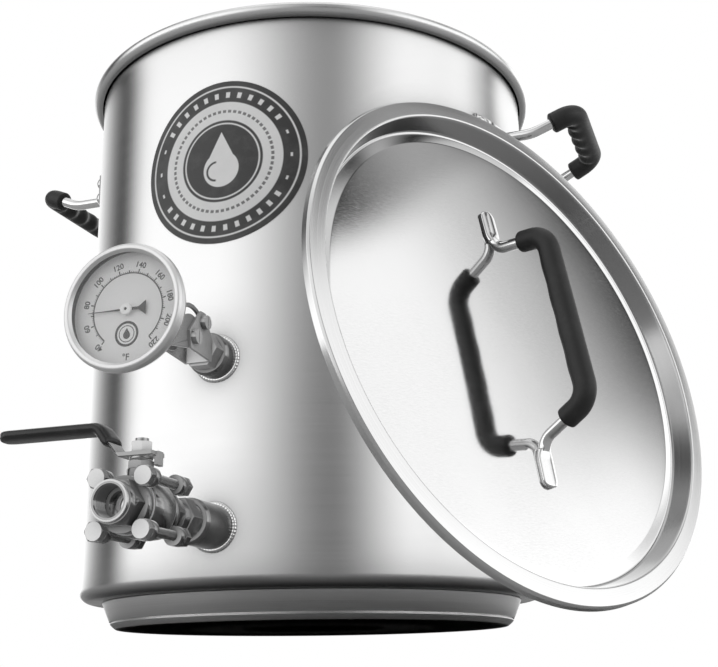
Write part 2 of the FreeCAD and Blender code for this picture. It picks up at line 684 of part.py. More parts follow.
def make_lid_handle(panel):
    """Bent rod whose ends are pressed flat and spot welded to the lid."""
    rod = swept_rod(lid_handle_path(), [11.0, 15.0, 15.0, 11.0], HANDLE_ROD_RADIUS)
    for sign in (-1, 1):
        inner, outer = 76.0, 101.0
        a, b = dome_height(inner), dome_height(outer)
        outline = [Vector(-6.8, sign * inner, a), Vector(-6.8, sign * outer, b),
                   Vector(-6.8, sign * outer, b + 3.0), Vector(-6.8, sign * inner, a + 4.4)]
        rod = rod.fuse(plate(outline, Vector(1, 0, 0), 13.6))
    below = Part.makeBox(30, 220, 30, Vector(-15, -110, dome_height(101.0) - 30))
    return single(rod.cut(panel).cut(below))


def make_lid_grip(rod):
    """Soft sleeve over the middle of the lid's handle."""
    path = lid_handle_path()
    start = path[2] + (path[1] - path[2]) * 0.52
    end = Vector(0, -start.y, start.z)
    sleeve = swept_rod([start, path[2], path[3], end], [15.0, 15.0], LID_GRIP_RADIUS)
    return single(sleeve.cut(rod))


# ---- all nodes ----
def pot_parts():
    rivets = {"right": side_rivets(0), "left": side_rivets(180)}
    valve_hole = at_front(ring(COUPLER_RADIUS, 0, 150, 200), VALVE_Z)
    dial_hole = at_front(ring(COUPLER_RADIUS, 0, 150, 200), DIAL_Z)
    shell = make_shell([valve_hole, dial_hole] + rivets["right"] + rivets["left"])
    core, cap = make_base()
    nodes = {
        "kettle_shell": shell,
        "base_core": core,
        "base_cap": cap,
        "valve_coupler": at_front(coupler(POT_RADIUS - 2.6, POT_RADIUS + 36), VALVE_Z),
        "thermometer_coupler": at_front(coupler(POT_RADIUS - 2.6, POT_RADIUS + 15), DIAL_Z),
        "weld_beads": group([weld_bead(VALVE_Z), weld_bead(DIAL_Z)]),
        "badge": make_badge(),
    }
    for name, side, angle in (("right", 1, 0), ("left", -1, 180)):
        rod = make_handle_rod(side)
        nodes[f"handle_rod_{name}"] = rod
        nodes[f"handle_grip_{name}"] = make_handle_grip(side, rod)
        nodes[f"handle_feet_{name}"] = make_handle_feet(angle, rivets[name])
        nodes[f"handle_rivets_{name}"] = group(rivets[name])
    return nodes


def valve_parts():
    front_face = VALVE_CENTRE + BODY_HALF
    rear_face = VALVE_CENTRE - BODY_HALF
    made = {
        "valve_nipple": make_nipple(),
        "valve_rear_cap": make_end_cap(rear_face, -1, COUPLER_BORE, 13.5),
        "valve_front_cap": make_end_cap(front_face, 1, 9.6, 13.5),
        "valve_body": make_valve_body(),
        "valve_seats": make_seats(),
        "valve_body_gaskets": make_body_gaskets(),
        "valve_bolts": make_bolts(),
        "valve_nuts": make_nuts(),
        "valve_spring_washers": make_washers(),
        "valve_stem_packing": make_stem_packing(),
        "valve_gland_nut": make_gland_nut(),
        "valve_ball": make_ball(),
        "valve_stem": make_stem(),
    }
    nodes = {name: at_front(shape, VALVE_Z) for name, shape in made.items()}
    lever = make_lever()
    nodes["lever"] = lever
    nodes["lever_sleeve"] = make_lever_sleeve(lever)
    nodes["lever_nut"] = make_lever_nut()
    nodes["lever_washer"] = make_lever_washer()
    return nodes


def thermometer_parts():
    made = {
        "thermometer_bracket": make_fixed_bracket(),
        "thermometer_probe": make_probe(),
        "pivot_screws": make_pivot_screws(),
        "head_yoke": make_head_yoke(),
        "head_neck": make_neck(),
        "dial_case": make_dial_case(),
        "dial_bezel": make_dial_bezel(),
        "dial_lens": make_lens(),
        "lens_gasket": make_lens_gasket(),
        "dial_face": make_dial_face(),
        "pointer": make_pointer(),
        "pointer_hub": make_pointer_hub(),
        "pointer_shaft": make_pointer_shaft(),
    }
    return {name: at_front(shape, DIAL_Z) for name, shape in made.items()}


def lid_parts():
    panel = make_lid_panel()
    rod = make_lid_handle(panel)
    made = {"lid_panel": panel, "lid_handle": rod, "lid_grip": make_lid_grip(rod)}
    return {name: stood(shape) for name, shape in made.items()}


def main():
    os.makedirs("parts", exist_ok=True)
    nodes = {**pot_parts(), **valve_parts(), **thermometer_parts(), **lid_parts()}
    for name, shape in nodes.items():
        if not shape.isValid() or not shape.Solids:
            print("check", name, "valid", shape.isValid(), "solids", len(shape.Solids))
        shape.exportStep(f"parts/{name}.step")
    print(len(nodes), "nodes")


main()
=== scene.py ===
import json
import math

import bmesh
import bpy
import numpy as np
from mathutils import Matrix, Vector

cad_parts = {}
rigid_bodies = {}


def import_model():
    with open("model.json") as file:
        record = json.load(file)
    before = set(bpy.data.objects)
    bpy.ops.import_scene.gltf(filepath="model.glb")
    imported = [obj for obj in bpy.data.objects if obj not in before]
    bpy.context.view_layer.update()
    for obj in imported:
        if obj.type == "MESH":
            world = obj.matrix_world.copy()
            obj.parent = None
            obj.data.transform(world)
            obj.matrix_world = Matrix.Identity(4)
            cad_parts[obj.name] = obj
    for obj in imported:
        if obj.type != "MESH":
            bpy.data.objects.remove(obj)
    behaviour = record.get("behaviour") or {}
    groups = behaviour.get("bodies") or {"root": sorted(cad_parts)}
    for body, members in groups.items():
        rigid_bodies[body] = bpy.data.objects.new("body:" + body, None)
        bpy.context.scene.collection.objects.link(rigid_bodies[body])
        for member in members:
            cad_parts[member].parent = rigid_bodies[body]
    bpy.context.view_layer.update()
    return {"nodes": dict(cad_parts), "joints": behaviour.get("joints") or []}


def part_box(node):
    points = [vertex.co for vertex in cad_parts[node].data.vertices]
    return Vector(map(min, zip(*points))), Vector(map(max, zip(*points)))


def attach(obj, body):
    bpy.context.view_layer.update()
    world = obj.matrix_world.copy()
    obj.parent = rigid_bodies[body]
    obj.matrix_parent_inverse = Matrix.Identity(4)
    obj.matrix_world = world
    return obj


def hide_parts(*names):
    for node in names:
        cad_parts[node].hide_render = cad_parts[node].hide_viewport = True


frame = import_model()

# Brew kettle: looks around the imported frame. Lengths below are millimetres unless a name ends in _m.
MM = 0.001


# ---- places read from the frame ----
def box_mm(node):
    low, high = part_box(node)
    return low / MM, high / MM


_, shell_high = box_mm("kettle_shell")
_, cap_high = box_mm("base_cap")
badge_low, badge_high = box_mm("badge")
valve_low, valve_high = box_mm("valve_front_cap")
bezel_low, bezel_high = box_mm("dial_bezel")
sleeve_low, sleeve_high = box_mm("lever_sleeve")
panel_low, panel_high = box_mm("lid_panel")
joints = {joint["name"]: joint for joint in frame["joints"]}

RIM_BEAD = 9.6
SHEET = 1.2
RIM_TOP = shell_high.z
POT_R = shell_high.x - RIM_BEAD + SHEET
INNER_R = POT_R - SHEET
BASE_TOP = cap_high.z
BASE_R = cap_high.x
VALVE_Z = (valve_low.z + valve_high.z) / 2
MOUTH = -valve_low.y
DIAL_Z = (bezel_low.z + bezel_high.z) / 2
DIAL_FRONT = -bezel_low.y
STEM_S = -joints["valve_turn"]["pos_m"][1] / MM
BADGE_Z = (badge_low.z + badge_high.z) / 2
BADGE_R = (badge_high.z - badge_low.z) / 2
COUPLER_R = 14.5
COUPLER_BORE_R = 10.7

LID_R = 184.0
slide_axis = Vector(joints["lid_slide"]["axis"])
LID_LEAN = math.acos(panel_high.z / (2 * LID_R))
lid_normal = slide_axis * math.cos(LID_LEAN) + Vector((0, 0, math.sin(LID_LEAN)))
lid_up = Vector((0, 0, math.cos(LID_LEAN))) - slide_axis * math.sin(LID_LEAN)
lid_side = lid_up.cross(lid_normal)
lid_reach = (panel_low.x + LID_R * math.sqrt(1 - lid_normal.x ** 2)) / slide_axis.x
lid_centre = slide_axis * lid_reach + Vector((0, 0, LID_R * math.cos(LID_LEAN)))
lid_turn = Matrix((lid_side, lid_up, lid_normal)).transposed().to_4x4()
LID = Matrix.Translation(lid_centre * MM) @ lid_turn


def front(height):
    """Local +Z points out of the pot's front, local +Y points up."""
    turn = Matrix(((1, 0, 0), (0, 0, -1), (0, 1, 0))).to_4x4()
    return Matrix.Translation((0, 0, height * MM)) @ turn


UPRIGHT = Matrix.Identity(4)
SHARP = 32.0                # degrees between faces above which an edge stays sharp


# ---- materials ----
class Graph:
    """A material's node tree, built by short calls."""

    def __init__(self, name):
        self.material = bpy.data.materials.new(name)
        self.material.use_nodes = True
        self.tree = self.material.node_tree
        self.tree.nodes.clear()
        self.coords = self.add("ShaderNodeTexCoord").outputs["Object"]

    def add(self, kind, settings=None, **sockets):
        node = self.tree.nodes.new(kind)
        for key, value in (settings or {}).items():
            setattr(node, key, value)
        for key, value in sockets.items():
            numbered = key[0] == "i" and key[1:].isdigit()
            socket = node.inputs[int(key[1:]) if numbered else key]
            if isinstance(value, bpy.types.NodeSocket):
                self.tree.links.new(value, socket)
            else:
                socket.default_value = value
        return node

    def math(self, operation, a, b=0.0, clamp=False):
        settings = {"operation": operation, "use_clamp": clamp}
        return self.add("ShaderNodeMath", settings, i0=a, i1=b).outputs[0]

    def scaled(self, vector, scale):
        node = self.add("ShaderNodeVectorMath", {"operation": "MULTIPLY"}, i0=vector, i1=scale)
        return node.outputs[0]

    def split(self, vector):
        return self.add("ShaderNodeSeparateXYZ", i0=vector).outputs

    def joined(self, x, y, z):
        return self.add("ShaderNodeCombineXYZ", i0=x, i1=y, i2=z).outputs[0]

    def round_coords(self):
        """(angle, radius, height) about the object's own Z axis, in metres round a 0.1 m circle."""
        x, y, z = self.split(self.coords)
        angle = self.math("MULTIPLY", self.math("ARCTAN2", y, x), 0.1)
        return self.joined(angle, self.length(x, y), z)

    def length(self, a, b):
        """Length of the flat vector (a, b)."""
        squares = self.math("ADD", self.math("MULTIPLY", a, a), self.math("MULTIPLY", b, b))
        return self.math("SQRT", squares)

    def noise(self, vector, scale, detail=3.0, rough=0.55):
        return self.add("ShaderNodeTexNoise", Vector=vector, Scale=scale, Detail=detail,
                        Roughness=rough).outputs["Fac"]

    def ramp(self, fac, low, high, out_low=0.0, out_high=1.0):
        node = self.add("ShaderNodeMapRange", {"clamp": True})
        self.tree.links.new(fac, node.inputs[0])
        for index, value in enumerate((low, high, out_low, out_high)):
            node.inputs[index + 1].default_value = value
        return node.outputs[0]

    def mix(self, fac, a, b):
        node = self.add("ShaderNodeMix", {"data_type": "RGBA"})
        for index, value in ((0, fac), (6, a), (7, b)):
            if isinstance(value, bpy.types.NodeSocket):
                self.tree.links.new(value, node.inputs[index])
            else:
                node.inputs[index].default_value = value if index == 0 else (*value, 1.0)
        return node.outputs[2]

    def bump(self, height, strength, distance):
        node = self.add("ShaderNodeBump", Height=height, Strength=strength, Distance=distance)
        return node.outputs[0]

    def finish(self, color, rough, normal=None, **constants):
        shader = self.add("ShaderNodeBsdfPrincipled")
        for key, value in (("Base Color", color), ("Roughness", rough), ("Normal", normal)):
            if isinstance(value, bpy.types.NodeSocket):
                self.tree.links.new(value, shader.inputs[key])
            elif value is not None:
                shader.inputs[key].default_value = (*value, 1.0) if key == "Base Color" else value
        for key, value in constants.items():
            if isinstance(value, bpy.types.NodeSocket):
                self.tree.links.new(value, shader.inputs[key])
            else:
                shader.inputs[key].default_value = value
        out = self.add("ShaderNodeOutputMaterial")
        self.tree.links.new(shader.outputs[0], out.inputs[0])
        return self.material


def grey(value):
    return (value, value, value)


def steel(name, tone, rough, grain="fine", depth=0.15, aniso=0.0, spread=0.06, painted_shade_share=1.0,
          reach=14.0):
    """Stainless steel. grain: around (turned), fine (satin) or cast. Painted shade: with a share below
    1, the colour darkens towards black where other surfaces lie closer than reach, down to that share
    in the tightest places."""
    g = Graph(name)
    if grain == "around":
        brush = g.noise(g.scaled(g.round_coords(), (6.0, 2600.0, 2600.0)), 1.0, 4.0)
        soft = g.noise(g.scaled(g.round_coords(), (8.0, 120.0, 120.0)), 1.0)
    elif grain == "cast":
        brush = g.noise(g.coords, 900.0, 5.0, 0.7)
        soft = g.noise(g.coords, 110.0)
    else:
        brush = g.noise(g.scaled(g.coords, (1500.0, 240.0, 1500.0)), 1.0, 4.0)
        soft = g.noise(g.coords, 60.0)
    stain = g.ramp(soft, 0.35, 0.7)
    color = g.mix(stain, grey(tone * (1 - spread)), grey(tone))
    color = g.mix(g.ramp(brush, 0.3, 0.75), color, grey(min(1.0, tone * (1 + spread))))
    # painted shade: ambient occlusion darkens the colour in crevices and next to nearby parts
    if painted_shade_share < 1.0:
        around = g.add("ShaderNodeAmbientOcclusion", {"samples": 8}, Distance=reach * MM)
        shade = g.ramp(around.outputs["AO"], 0.30, 0.97, painted_shade_share, 1.0)
        color = g.mix(shade, (0.0, 0.0, 0.0), color)
    wobble = g.math("ADD", g.ramp(brush, 0.25, 0.75, -spread, spread),
                    g.ramp(soft, 0.3, 0.7, -spread / 2, spread / 2))
    roughness = g.math("ADD", wobble, rough)
    extra = {"Metallic": 1.0}
    if aniso:
        extra["Anisotropic"] = aniso
        extra["Anisotropic Rotation"] = 0.25
        tangent = g.add("ShaderNodeTangent", {"direction_type": "RADIAL", "axis": "Z"})
        extra["Tangent"] = tangent.outputs[0]
    return g.finish(color, roughness, g.bump(brush, depth, 0.00012), **extra)


def moulded(name, tone, rough, grain=1800.0, depth=0.25):
    """Moulded rubber or plastic: fine pebble grain, faint lighter scuffs and dust in random patches.
    """
    g = Graph(name)
    pebble = g.noise(g.coords, grain, 2.0)
    dust = g.noise(g.coords, 55.0, 5.0, 0.65)
    color = g.mix(g.ramp(dust, 0.5, 0.8), grey(tone), grey(tone * 1.9 + 0.004))
    roughness = g.math("ADD", g.ramp(pebble, 0.3, 0.7, -0.07, 0.07), rough)
    return g.finish(color, roughness, g.bump(pebble, depth, 0.0002))


def painted(name, tone, rough=0.45):
    """Even paint or print with a faint mottle."""
    g = Graph(name)
    mottle = g.noise(g.coords, 700.0, 3.0)
    color = g.mix(g.ramp(mottle, 0.3, 0.7), grey(tone * 0.97), grey(min(1.0, tone * 1.02)))
    roughness = g.math("ADD", g.ramp(mottle, 0.3, 0.7, -0.03, 0.03), rough)
    return g.finish(color, roughness, g.bump(mottle, 0.05, 0.00005))


def clear_glass(name):
    g = Graph(name)
    smear = g.noise(g.coords, 40.0, 4.0)
    roughness = g.ramp(smear, 0.3, 0.7, 0.02, 0.06)
    return g.finish((1.0, 1.0, 1.0), roughness, None, Alpha=0.07, IOR=1.45)


def badge_print():
    """Round print: dark outer band with notches, pale ring, dark middle with a plain drop."""
    g = Graph("badge_print")
    x, _, z = g.split(g.coords)
    x = g.math("DIVIDE", x, BADGE_R * MM)
    z = g.math("DIVIDE", g.math("SUBTRACT", z, BADGE_Z * MM), BADGE_R * MM)
    radius = g.length(x, z)
    angle = g.math("ARCTAN2", z, x)
    edge = 0.006

    def within(value, low, high):
        """1 between the two limits, with a soft edge."""
        rise = g.ramp(value, low - edge, low + edge)
        fall = g.ramp(value, high - edge, high + edge, 1.0, 0.0)
        return g.math("MULTIPLY", rise, fall)

    def either(a, b):
        return g.math("MAXIMUM", a, b)

    pale = either(within(radius, 0.915, 0.935), within(radius, 0.505, 0.735))
    pale = either(pale, within(radius, 0.455, 0.473))
    # notches round the dark band, with rests at both sides
    beat = g.math("ABSOLUTE", g.math("SINE", g.math("MULTIPLY", angle, 18.0)))
    notch = g.math("MULTIPLY", g.ramp(beat, 0.80, 0.90), within(radius, 0.79, 0.86))
    rest = g.ramp(g.math("ABSOLUTE", g.math("COSINE", angle)), 0.86, 0.88, 1.0, 0.0)
    pale = either(pale, g.math("MULTIPLY", notch, rest))
    # small dots in the rests and on the pale ring
    bead = g.math("ABSOLUTE", g.math("SINE", g.math("MULTIPLY", angle, 9.0)))
    dots = g.math("MULTIPLY", g.ramp(bead, 0.2, 0.3, 1.0, 0.0), within(radius, 0.815, 0.84))
    pale = either(pale, g.math("MULTIPLY", dots, g.math("SUBTRACT", 1.0, rest)))
    tick = g.ramp(g.math("ABSOLUTE", g.math("SINE", g.math("MULTIPLY", angle, 30.0))), 0.5, 0.6)
    ticks = g.math("MULTIPLY", tick, within(radius, 0.60, 0.635))
    pale = g.math("SUBTRACT", pale, g.math("MULTIPLY", ticks, 0.8), clamp=True)
    # the drop: a circle below, a cone of straight sides above
    bowl = g.ramp(g.length(x, g.math("ADD", z, 0.10)), 0.215, 0.225, 1.0, 0.0)
    slope = g.math("MULTIPLY", g.math("SUBTRACT", 0.36, z), 0.50)
    cone = g.ramp(g.math("SUBTRACT", slope, g.math("ABSOLUTE", x)), -0.005, 0.005)
    cone = g.math("MULTIPLY", cone, within(z, 0.0, 0.36))
    drop = either(bowl, cone)
    glint_x = g.math("ADD", x, 0.06)
    glint = g.length(glint_x, g.math("ADD", z, 0.12))
    arc = g.math("MULTIPLY", within(glint, 0.10, 0.125), g.ramp(glint_x, -0.01, 0.01, 1.0, 0.0))
    drop = g.math("SUBTRACT", drop, arc, clamp=True)
    pale = either(pale, drop)
    mottle = g.noise(g.coords, 45.0, 5.0, 0.7)
    dark = g.mix(g.ramp(mottle, 0.45, 0.8), grey(0.035), grey(0.085))
    light = g.mix(g.ramp(mottle, 0.3, 0.7), grey(0.80), grey(0.86))
    color = g.mix(pale, dark, light)
    grain = g.noise(g.coords, 1200.0, 2.0)
    roughness = g.ramp(grain, 0.3, 0.7, 0.34, 0.46)
    return g.finish(color, roughness, g.bump(grain, 0.08, 0.0001))


# Painted shade in the colour: the wall darkens under the rim bead, at its foot and near the lid and
# fittings; the coupler, valve and fastener steels darken in their crevices.
WALL_STEEL = steel("wall_steel", 0.77, 0.24, "around", 0.012, 0.88, 0.018, painted_shade_share=0.1, reach=42.0)
BASE_STEEL = steel("base_steel", 0.78, 0.34, "around", 0.20, 0.5)
POLISHED = steel("polished", 0.78, 0.10, "fine", 0.03)
COUPLER_STEEL = steel("coupler_steel", 0.26, 0.18, "around", 0.15, 0.3, painted_shade_share=0.3)
VALVE_STEEL = steel("valve_steel", 0.27, 0.14, "cast", 0.12, painted_shade_share=0.12)
FASTENER = steel("fastener", 0.48, 0.20, "cast", 0.10, painted_shade_share=0.15)
BEZEL_STEEL = steel("bezel_steel", 0.76, 0.45, "around", 0.12, 0.3)
ALUMINIUM = steel("aluminium", 0.70, 0.42, "cast", 0.30)
GRIP = moulded("grip_rubber", 0.013, 0.52)
VINYL = moulded("sleeve_vinyl", 0.012, 0.34, 900.0, 0.08)
SEAT = painted("seat_plastic", 0.85, 0.5)
FACE_PAINT = painted("face_paint", 0.90, 0.55)
PRINT = painted("print", 0.055, 0.6)
BLACK_PAINT = painted("black_paint", 0.02, 0.45)
WHITE_PAINT = painted("white_paint", 0.97, 0.4)
GLASS = clear_glass("lens_glass")
BADGE = badge_print()


# ---- mesh helpers ----
def clean_mesh(name, verts, faces):
    """A mesh in metres from points in millimetres, welded and with its faces turned outwards."""
    data = bpy.data.meshes.new(name)
    data.from_pydata([tuple(c * MM for c in v) for v in verts], [], faces)
    shape = bmesh.new()
    shape.from_mesh(data)
    bmesh.ops.remove_doubles(shape, verts=shape.verts, dist=1e-6)
    bmesh.ops.dissolve_degenerate(shape, edges=shape.edges, dist=1e-7)
    bmesh.ops.recalc_face_normals(shape, faces=shape.faces)
    shape.to_mesh(data)
    shape.free()
    return data


def add_object(name, data):
    made = bpy.data.objects.new(name, data)
    bpy.context.scene.collection.objects.link(made)
    return made


def shade(data, sharp):
    """Smooth, with sharp edges above an angle in degrees."""
    data.shade_smooth()
    data.set_sharp_from_angle(angle=math.radians(sharp))


def piece(name, verts, faces, material, body, stands_for=(), place=UPRIGHT, sharp=SHARP):
    """A mesh in millimetres in its own frame, cleaned, shaded smooth, placed and put on its body."""
    data = clean_mesh(name, verts, faces)
    # a leaning box would count as bigger than the lid, so the mesh leans
    if place == LID:        # the mesh itself leans, so that its box fits round the lid along the frame's axes
        own = data.attributes.new("own_place", "FLOAT_VECTOR", "POINT")
        own.data.foreach_set("vector", [c for vertex in data.vertices for c in vertex.co])
        data.transform(LID)
        place = UPRIGHT
    shade(data, sharp)
    made = add_object(name, data)
    data.materials.append(material)
    made.matrix_world = place
    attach(made, body)
    if stands_for:
        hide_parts(*stands_for)
    return made


def rounded(points, radii, steps=5):
    """A line of points, flat or in space, whose inner corners are arcs."""
    points = [np.array(p, float) for p in points]
    out = [points[0]]
    for before, corner, after, radius in zip(points, points[1:], points[2:], radii):
        if radius <= 0:
            out.append(corner)
            continue
        inward = (before - corner) / np.linalg.norm(before - corner)
        outward = (after - corner) / np.linalg.norm(after - corner)
        half = math.acos(np.clip(inward @ outward, -1, 1)) / 2
        bisector = (inward + outward) / np.linalg.norm(inward + outward)
        centre = corner + bisector * radius / math.sin(half)
        first = corner + inward * radius / math.tan(half) - centre
        last = corner + outward * radius / math.tan(half) - centre
        sweep = math.pi - 2 * half
        for i in range(steps + 1):
            t = i / steps
            blend = first * math.sin((1 - t) * sweep) + last * math.sin(t * sweep)
            out.append(centre + blend / math.sin(sweep))
    out.append(points[-1])
    return out


def ring_faces(rows, columns, wrap_rows=False):
    """Quads of a grid whose columns wrap round; rows wrap too on request."""
    faces = []
    for i in range(rows if wrap_rows else rows - 1):
        for j in range(columns):
            a, b = i * columns + j, i * columns + (j + 1) % columns
            k = ((i + 1) % rows) * columns
            faces.append((a, b, k + (j + 1) % columns, k + j))
    return faces


def lathe_mesh(profile, turns=128):
    """Vertices and faces of a closed (radius, height) outline turned about Z."""
    angles = [2 * math.pi * j / turns for j in range(turns)]
    verts = [(r * math.cos(a), r * math.sin(a), z) for r, z in profile for a in angles]
    return verts, ring_faces(len(profile), turns, wrap_rows=True)


def lathe(name, profile, material, body, stands_for=(), place=UPRIGHT, turns=128,
          sharp=SHARP):
    verts, faces = lathe_mesh(profile, turns)
    return piece(name, verts, faces, material, body, stands_for, place, sharp)


def merged(*meshes):
    """Several (verts, faces) as one."""
    verts, faces = [], []
    for more_verts, more_faces in meshes:
        start = len(verts)
        verts += list(more_verts)
        faces += [tuple(start + i for i in face) for face in more_faces]
    return verts, faces


def resampled(path, gap):
    """Points at even distances along a line."""
    path = np.array(path, float)
    steps = np.linalg.norm(np.diff(path, axis=0), axis=1)
    path = path[np.concatenate(([True], steps > 1e-6))]
    along = np.concatenate(([0], np.cumsum(np.linalg.norm(np.diff(path, axis=0), axis=1))))
    count = max(2, int(along[-1] / gap) + 1)
    at = np.linspace(0, along[-1], count)
    return np.stack([np.interp(at, along, path[:, k]) for k in range(3)], 1), at


def sweep_mesh(path, section, gap=1.5, count=28, side=(0, 1, 0)):
    """A section carried along a path. section(s, length, angle) gives the two offsets (a along
    the carried side direction, b across it); side starts the frame that is carried along."""
    points, at = resampled(path, gap)
    tangents = np.gradient(points, axis=0)
    tangents /= np.linalg.norm(tangents, axis=1)[:, None]
    verts = []
    a = np.array(side, float)
    for point, tangent, s in zip(points, tangents, at):
        a = a - tangent * (a @ tangent)
        a /= np.linalg.norm(a)
        b = np.cross(tangent, a)
        for j in range(count):
            u, v = section(s, at[-1], 2 * math.pi * j / count)
            verts.append(tuple(point + a * u + b * v))
    faces = ring_faces(len(points), count)
    faces.append(tuple(range(count))[::-1])
    faces.append(tuple((len(points) - 1) * count + j for j in range(count)))
    return verts, faces


def end_round(s, length, reach):
    """Factor that rounds both ends of a sweep over a distance."""
    near = min(s, length - s)
    if near >= reach:
        return 1.0
    return math.sqrt(max(0.0, 1 - (1 - near / reach) ** 2)) * 0.98 + 0.02


def round_section(radius):
    return lambda s, length, angle: (radius * math.cos(angle), radius * math.sin(angle))


def finish_cad(node, material, bevel=0.0):
    """A CAD node keeps its shape and takes a better material, with its edges eased."""
    shown = frame["nodes"][node]
    shown.data.materials.clear()
    shown.data.materials.append(material)
    if bevel:
        weld = shown.modifiers.new("weld", "WELD")
        weld.merge_threshold = 2e-6
        ease = shown.modifiers.new("bevel", "BEVEL")
        ease.width = bevel * MM
        ease.segments = 2
        ease.limit_method = "ANGLE"
        ease.angle_limit = math.radians(38)
        ease.harden_normals = True


# ---- pot ----
def make_pot():
    curl = RIM_BEAD / 2
    small = curl - SHEET
    bead = INNER_R + RIM_BEAD
    lip, low = POT_R + 1.4, RIM_TOP - RIM_BEAD
    floor = BASE_TOP + SHEET
    inside = rounded([(0, floor), (INNER_R, floor), (INNER_R, RIM_TOP), (bead, RIM_TOP),
                      (bead, low), (lip, low)], [6.8, curl, curl, curl], 8)
    outside = rounded([(lip, low + SHEET), (bead - SHEET, low + SHEET),
                       (bead - SHEET, RIM_TOP - SHEET), (POT_R, RIM_TOP - SHEET), (POT_R, BASE_TOP),
                       (0, BASE_TOP)], [small, small, small, 8.0], 8)
    profile = []        # long straight stretches get points of their own, so that no face is a sliver
    for a, b in zip(inside + outside, (inside + outside)[1:]):
        profile.append(a)
        steps = int(abs(b[1] - a[1]) / 30)
        profile += [a + (b - a) * k / (steps + 1) for k in range(1, steps + 1)]
    profile.append(outside[-1])
    pot = lathe("pot_wall", profile, WALL_STEEL, "kettle", ["kettle_shell"],
                turns=360)
    for height in (VALVE_Z, DIAL_Z):
        cut_coupler_hole(pot, height)
    shade(pot.data, SHARP)


def cut_coupler_hole(pot, height):
    before, beyond = POT_R - 27.0, POT_R + 23.0
    drill = [(0, before), (COUPLER_R, before), (COUPLER_R, beyond), (0, beyond)]
    cutter = add_object("hole", clean_mesh("hole", *lathe_mesh(drill, 64)))
    cutter.matrix_world = front(height)
    cut = pot.modifiers.new("hole", "BOOLEAN")
    cut.operation = "DIFFERENCE"
    cut.object = cutter
    bpy.context.view_layer.update()
    with bpy.context.temp_override(object=pot, active_object=pot):
        bpy.ops.object.modifier_apply(modifier=cut.name)
    bpy.data.objects.remove(cutter)


def make_base():
    low = BASE_R - 8.0
    slope = 8.0 / BASE_TOP
    groove = low + slope * 4
    outer = rounded([(0, 0), (low - 2.5, 0), (low, 2.0), (groove, 3.7), (groove - 0.9, 4.4),
                     (groove + slope, 5.1), (BASE_R, BASE_TOP), (0, BASE_TOP)],
                    [1.5, 1.2, 0.4, 0.25, 0.4, 0.6])
    inner = [(0, BASE_TOP - 0.4), (BASE_R - 2.0, BASE_TOP - 0.4), (low - 4, 0.8), (0, 0.8)]
    lathe("clad_base", outer + inner, BASE_STEEL, "kettle", ["base_cap"], turns=256)


def make_couplers():
    """Turned sockets with a fine groove near the mouth."""
    for name, height, node in (("coupler_valve", VALVE_Z, "valve_coupler"),
                               ("coupler_dial", DIAL_Z, "thermometer_coupler")):
        high, low = (-corner.y for corner in box_mm(node))
        r, bore = COUPLER_R, COUPLER_BORE_R
        profile = rounded([(bore, low), (r, low), (r, high - 3.4), (r - 0.35, high - 3.0),
                           (r - 0.35, high - 2.6), (r, high - 2.2), (r, high - 1.9),
                           (r - 1.0, high), (bore + 0.6, high), (bore, high - 0.8), (bore, low)],
                          [0.3, 0.2, 0.1, 0.1, 0.2, 0.4, 0.5, 0.2, 0.1])[:-1]
        lathe(name, profile, COUPLER_STEEL, "kettle", [node], front(height))


def make_welds():
    """Rippled weld beads that follow the wall round both couplers."""
    meshes = []
    turns, ring = 220, 14
    for height in (VALVE_Z, DIAL_Z):
        verts = []
        for i in range(turns):
            a = 2 * math.pi * i / turns
            ripple = 1.75 + 0.16 * math.sin(46 * a) + 0.1 * math.sin(5 * a + height)
            for j in range(ring):
                b = 2 * math.pi * j / ring
                r = COUPLER_R + 0.3 + ripple * math.cos(b)
                x, up = r * math.cos(a), r * math.sin(a)
                out = math.sqrt(POT_R ** 2 - x ** 2) + 0.15 + ripple * 0.8 * math.sin(b)
                verts.append((x, -out, height + up))
        meshes.append((verts, ring_faces(turns, ring, wrap_rows=True)))
    verts, faces = merged(*meshes)
    piece("weld_beads_visual", verts, faces, POLISHED, "kettle", ["weld_beads"],
          sharp=60)


def make_badge():
    """A thin skin on the wall, round when seen from the front."""
    rings, turns = 24, 180
    meshes = []
    for radius in (POT_R + 0.05, POT_R + 0.4):
        verts = []
        for i in range(rings + 1):
            r = BADGE_R * i / rings
            for j in range(turns):
                a = 2 * math.pi * j / turns
                x, z = r * math.cos(a), r * math.sin(a)
                verts.append((x, -math.sqrt(radius ** 2 - x ** 2), BADGE_Z + z))
        meshes.append((verts, ring_faces(rings + 1, turns)))
    verts, faces = merged(*meshes)
    inner, outer = rings * turns, (2 * rings + 1) * turns
    faces += [(inner + j, inner + (j + 1) % turns, outer + (j + 1) % turns, outer + j)
              for j in range(turns)]
    piece("badge_visual", verts, faces, BADGE, "kettle", ["badge"])


# ---- side handles ----
ROD_R = 4.0
CAD_GRIP_R = 7.6
GRIP_R = 7.9


def handle_path(side):
    """Corners of a side handle's centre line, from one foot to the other."""
    rod_low, rod_high = box_mm("handle_rod_right")
    _, grip_high = box_mm("handle_grip_right")
    reach, half = grip_high.x - CAD_GRIP_R, rod_high.y - ROD_R
    rod_z, grip_z = rod_low.z + ROD_R, grip_high.z - CAD_GRIP_R
    foot = math.sqrt((POT_R + 2.5) ** 2 - half ** 2) - 0.5
    near = [(foot, half, rod_z), (reach - 33.0, half, rod_z), (reach, half - 5.0, grip_z)]
    far = [(x, -y, z) for x, y, z in reversed(near)]
    return [np.array((side * x, -y, z)) for x, y, z in near + far]


